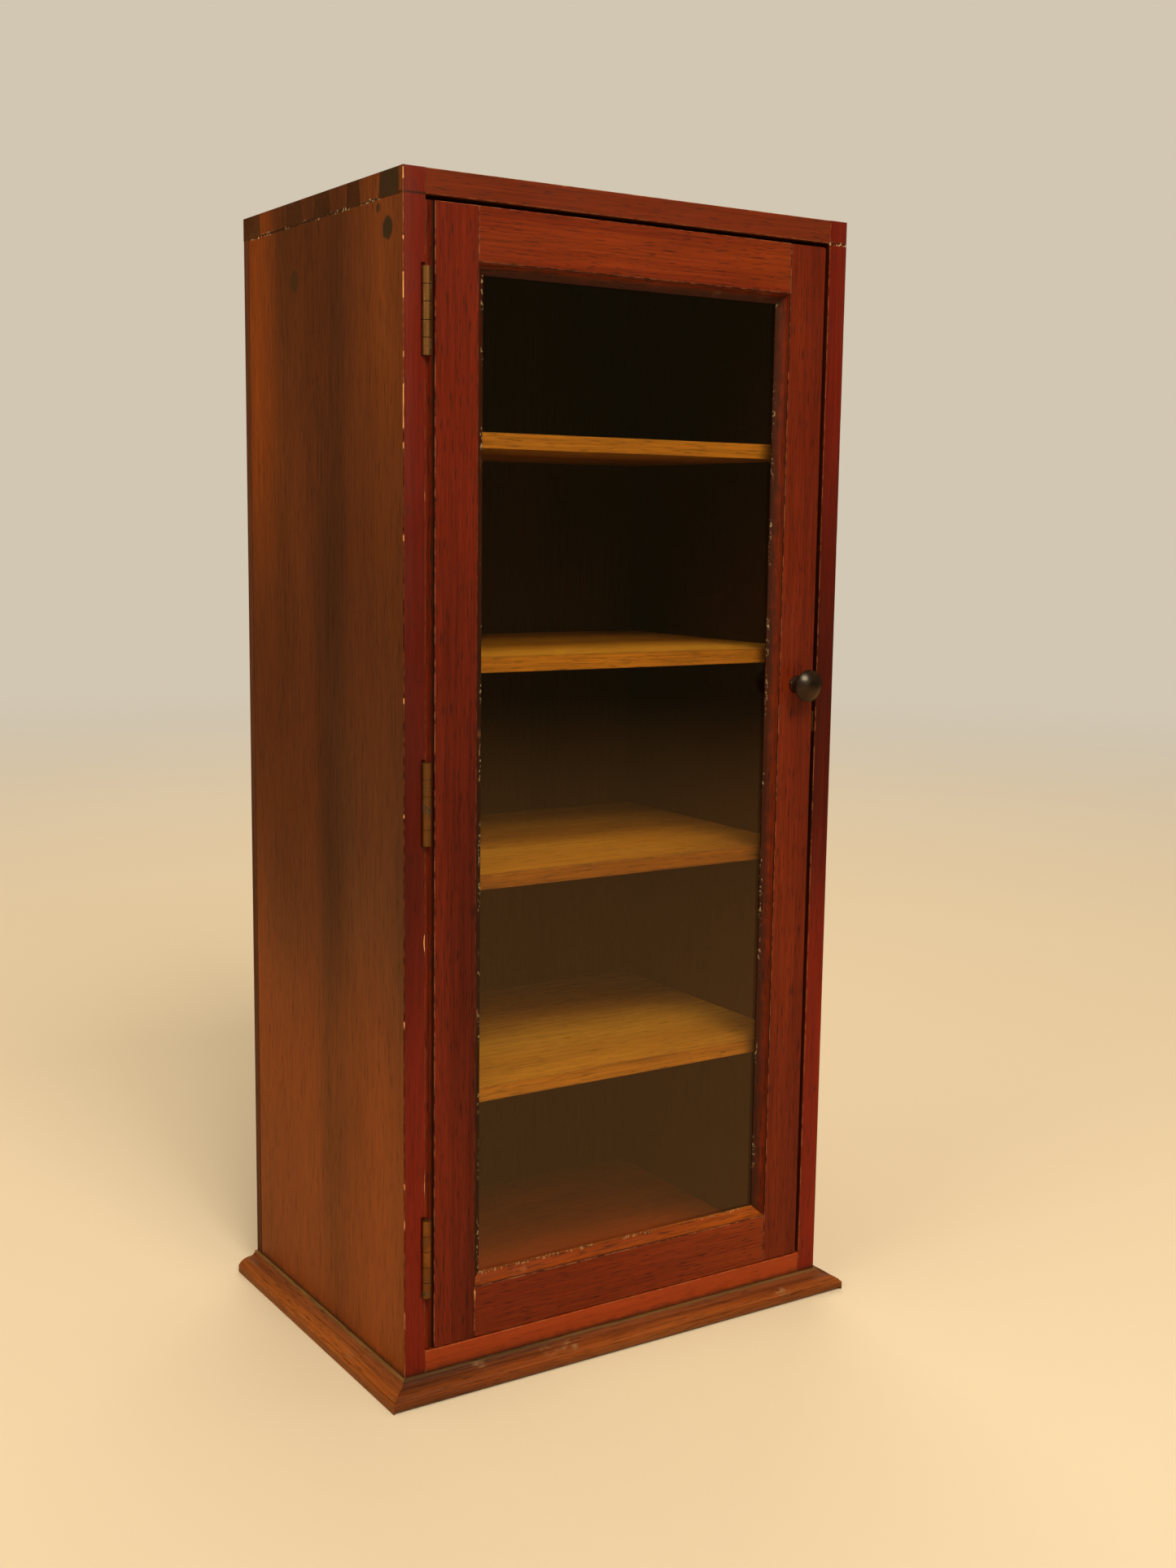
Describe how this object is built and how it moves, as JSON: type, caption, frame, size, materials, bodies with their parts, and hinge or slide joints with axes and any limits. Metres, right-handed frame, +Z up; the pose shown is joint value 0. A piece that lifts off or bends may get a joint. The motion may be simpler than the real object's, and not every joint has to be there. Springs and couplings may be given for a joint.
{
  "type": "miniature bookcase",
  "caption": "Tall narrow miniature bookcase with a dovetailed case, housed shelves behind a hinged glazed door, a small turned knob and a moulded plinth.",
  "frame": {"origin": "on the floor under the middle of the whole bookcase, knob and plinth included", "axes": "+Z up, the door and knob face -Y, +X to the right seen from the front, where the knob is"},
  "size_m": [0.2706, 0.192, 0.5605],
  "materials": {
    "case_mahogany": "old French-polished mahogany, satin, worn arrises",
    "door_mahogany": "old French-polished red mahogany, satin",
    "plinth_mahogany": "worn polished mahogany",
    "shelf_wood": "waxed light oak",
    "back_wood": "dark stained softwood, dull",
    "old_glass": "clear old sheet glass",
    "putty": "old linseed putty, stained",
    "aged_brass": "tarnished brass",
    "screw_brass": "brass, rubbed",
    "pin_steel": "darkened steel",
    "iron_brads": "dull dark iron",
    "ebonised_wood": "ebonised and polished, glossy"
  },
  "bodies": {
    "case": {"side_left": "case_mahogany", "side_right": "case_mahogany", "top_board": "case_mahogany", "bottom_board": "case_mahogany", "back_panel": "back_wood", "shelf_1": "shelf_wood", "shelf_2": "shelf_wood", "shelf_3": "shelf_wood", "shelf_4": "shelf_wood", "plinth_front": "plinth_mahogany", "plinth_left": "plinth_mahogany", "plinth_right": "plinth_mahogany", "plinth_back_rail": "back_wood", "door_stop_top": "case_mahogany", "door_stop_bottom": "case_mahogany", "hinge_case_leaf_1": "aged_brass", "hinge_case_leaf_2": "aged_brass", "hinge_case_leaf_3": "aged_brass", "hinge_pin_1": "pin_steel", "hinge_pin_2": "pin_steel", "hinge_pin_3": "pin_steel", "hinge_screws_case": "screw_brass", "back_brads": "iron_brads", "plinth_brads": "iron_brads", "catch_strike": "aged_brass", "strike_pins": "screw_brass"},
    "door": {"stile_hinge": "door_mahogany", "stile_lock": "door_mahogany", "rail_top": "door_mahogany", "rail_bottom": "door_mahogany", "glass_pane": "old_glass", "glazing_putty": "putty", "hinge_door_leaf_1": "aged_brass", "hinge_door_leaf_2": "aged_brass", "hinge_door_leaf_3": "aged_brass", "hinge_screws_door": "screw_brass", "knob": "ebonised_wood", "knob_screw": "screw_brass", "catch_barrel": "aged_brass", "catch_spring": "pin_steel"},
    "catch_ball": {"catch_ball": "pin_steel"}
  },
  "joints": [
    {"name": "door_hinge", "type": "hinge", "parent": "case", "child": "door", "pos_m": [-0.11305, -0.0826, 0.2832], "axis": [0, 0, -1], "range_deg": [0, 175]},
    {"name": "ball_press", "type": "slide", "parent": "door", "child": "catch_ball", "axis": [-1, 0, 0], "range_m": [0, 0.0011], "stiffness_N_per_m": 300, "springref_m": -0.0015, "deforming": ["catch_spring"]}
  ]
}
